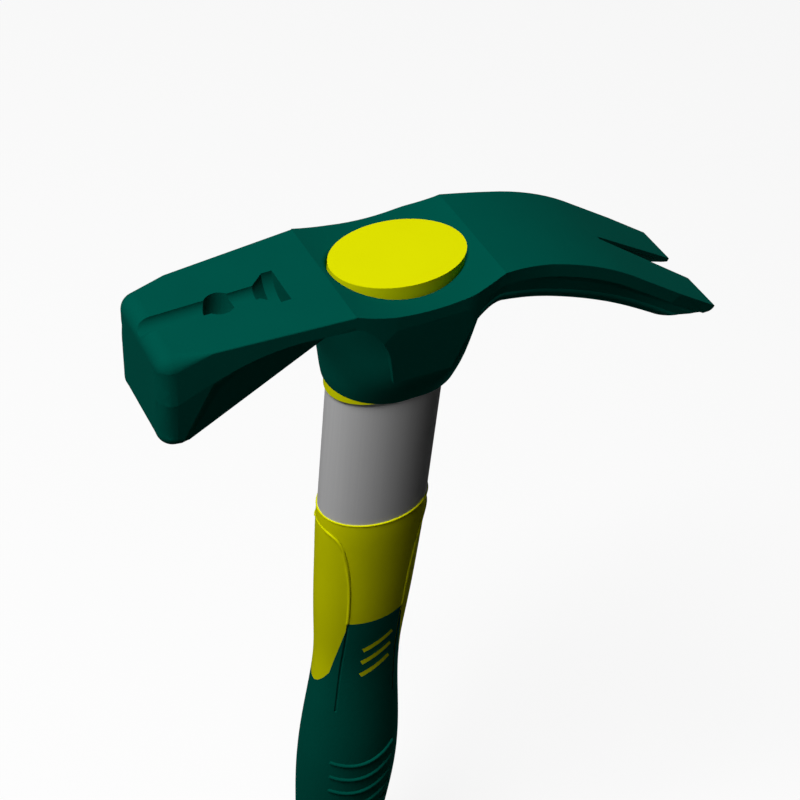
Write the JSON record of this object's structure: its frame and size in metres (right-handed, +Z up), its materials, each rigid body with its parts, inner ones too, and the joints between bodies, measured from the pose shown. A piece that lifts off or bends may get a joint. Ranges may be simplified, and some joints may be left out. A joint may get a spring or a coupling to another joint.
{
  "type": "brick hammer",
  "caption": "Mason's and formwork hammer: square striking face with a magnetic nail starter on top, slotted claw, oval steel tube handle with a two-material grip and a hanging hole.",
  "frame": {"origin": "middle of the hanging hole, on the handle's axis", "axes": "+Z up the handle to the head, +X towards the claw, -X towards the striking face, Y across the tool along the hanging hole"},
  "size_m": [0.162, 0.038, 0.325],
  "materials": {
    "head_paint": "dark green semi-gloss paint on forged steel",
    "magnet_nickel": "nickel plated",
    "yellow_plastic": "moulded, satin",
    "core_plastic": "moulded",
    "tube_steel": "plain grey, satin",
    "grip_rubber": "moulded, matt"
  },
  "bodies": {
    "root": {"hammer_head": "head_paint", "holder_magnet": "magnet_nickel", "eye_sleeve": "yellow_plastic", "eye_cap": "yellow_plastic", "tube_expander": "core_plastic", "handle_tube": "tube_steel", "grip_body": "yellow_plastic", "grip_overmould": "grip_rubber", "butt_cap": "yellow_plastic"}
  },
  "joints": []
}
